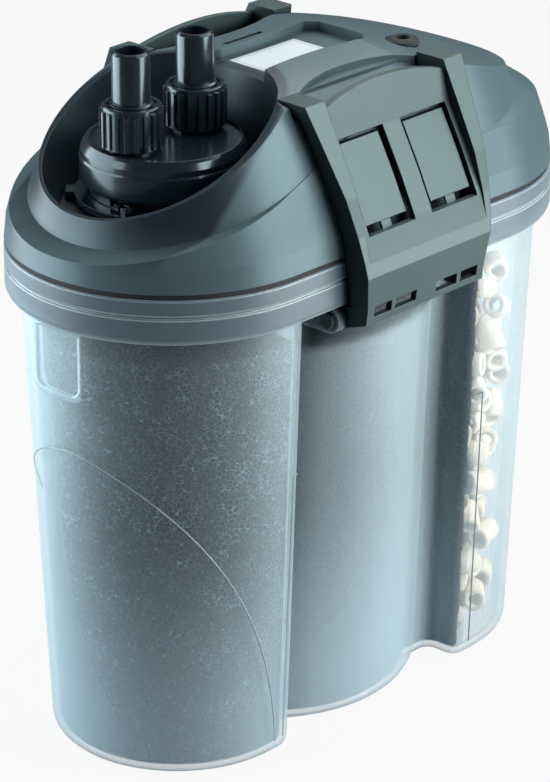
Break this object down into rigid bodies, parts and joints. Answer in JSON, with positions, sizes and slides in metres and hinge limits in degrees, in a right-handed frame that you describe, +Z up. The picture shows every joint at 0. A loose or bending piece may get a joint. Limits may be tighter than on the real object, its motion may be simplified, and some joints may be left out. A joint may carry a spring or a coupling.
{
  "type": "canister filter",
  "caption": "External aquarium canister filter: translucent lobed tub with media, grey pump head, two swing latches and a round twin-port hose adapter.",
  "frame": {"origin": "centre of the flat underside of the tub", "axes": "+Z up, +X along the long axis towards the pump end, so the hose adapter is at -X; +Y towards the far latch"},
  "size_m": [0.287, 0.1724, 0.3245],
  "materials": {
    "clear_plastic": "translucent, lightly frosted",
    "head_plastic": "fine spark texture",
    "latch_plastic": "fine spark texture",
    "adapter_plastic": "smooth",
    "inner_plastic": "smooth",
    "divider_plastic": "translucent, smooth",
    "seal_rubber": "smooth",
    "pin_steel": "turned",
    "lamination": "stacked sheets",
    "copper": "enamelled winding",
    "magnet": "sintered",
    "ceramic_shaft": "polished ceramic",
    "ceramic": "unglazed, porous",
    "foam": "open-cell foam",
    "label": "blank printed film"
  },
  "bodies": {
    "housing": {"canister_shell": "clear_plastic", "rim_gasket": "seal_rubber", "latch_pins_near": "adapter_plastic", "latch_pins_far": "adapter_plastic", "head_cover": "head_plastic", "head_plate": "inner_plastic", "cover_screws": "pin_steel", "inlet_sleeve": "inner_plastic", "outlet_sleeve": "inner_plastic", "pump_volute": "inner_plastic", "volute_seal": "seal_rubber", "volute_cover": "inner_plastic", "outlet_duct": "inner_plastic", "rotor_can": "inner_plastic", "lower_bush": "seal_rubber", "upper_bush": "seal_rubber", "rotor_shaft": "ceramic_shaft", "stator_core": "lamination", "stator_coils": "copper", "cord_gland": "seal_rubber", "rating_label": "label", "prefilter_foam": "foam", "front_divider": "divider_plastic", "filter_foam": "foam", "rear_divider": "divider_plastic", "ceramic_noodles": "ceramic"},
    "latch_near": {"latch_near": "latch_plastic"},
    "latch_far": {"latch_far": "latch_plastic"},
    "adapter": {"adapter_body": "adapter_plastic", "adapter_top": "adapter_plastic", "port_orings": "seal_rubber", "hose_tail_inlet": "adapter_plastic", "hose_tail_outlet": "adapter_plastic", "tail_washers": "seal_rubber"},
    "collar": {"release_collar": "inner_plastic"},
    "disc": {"shutoff_disc": "inner_plastic"},
    "nut_inlet": {"union_nut_inlet": "adapter_plastic"},
    "nut_outlet": {"union_nut_outlet": "adapter_plastic"},
    "rotor": {"impeller": "inner_plastic", "rotor_magnet": "magnet"}
  },
  "joints": [
    {"name": "latch_near_swing", "type": "hinge", "parent": "housing", "child": "latch_near", "pos_m": [0, -0.0665, 0.2065], "axis": [1, 0, 0], "range_deg": [0, 75]},
    {"name": "latch_far_swing", "type": "hinge", "parent": "housing", "child": "latch_far", "pos_m": [0, 0.0665, 0.2065], "axis": [-1, 0, 0], "range_deg": [0, 75]},
    {"name": "adapter_lift", "type": "slide", "parent": "housing", "child": "adapter", "axis": [0, 0, 1], "range_m": [0, 0.04]},
    {"name": "collar_turn", "type": "hinge", "parent": "adapter", "child": "collar", "pos_m": [-0.0752, 0, 0.2568], "axis": [0, 0, 1], "range_deg": [0, 40]},
    {"name": "disc_turn", "type": "hinge", "parent": "adapter", "child": "disc", "pos_m": [-0.0752, 0, 0.2602], "axis": [0, 0, 1], "range_deg": [0, 40]},
    {"name": "nut_inlet_turn", "type": "hinge", "parent": "adapter", "child": "nut_inlet", "pos_m": [-0.0943, 0, 0.292], "axis": [0, 0, 1], "continuous": true},
    {"name": "nut_outlet_turn", "type": "hinge", "parent": "adapter", "child": "nut_outlet", "pos_m": [-0.0561, 0, 0.292], "axis": [0, 0, 1], "continuous": true},
    {"name": "rotor_spin", "type": "hinge", "parent": "housing", "child": "rotor", "pos_m": [0.07, 0, 0.245], "axis": [0, 0, 1], "continuous": true}
  ],
  "couplings": [
    {"joint": "disc_turn", "follows": "collar_turn", "ratio": 1}
  ]
}
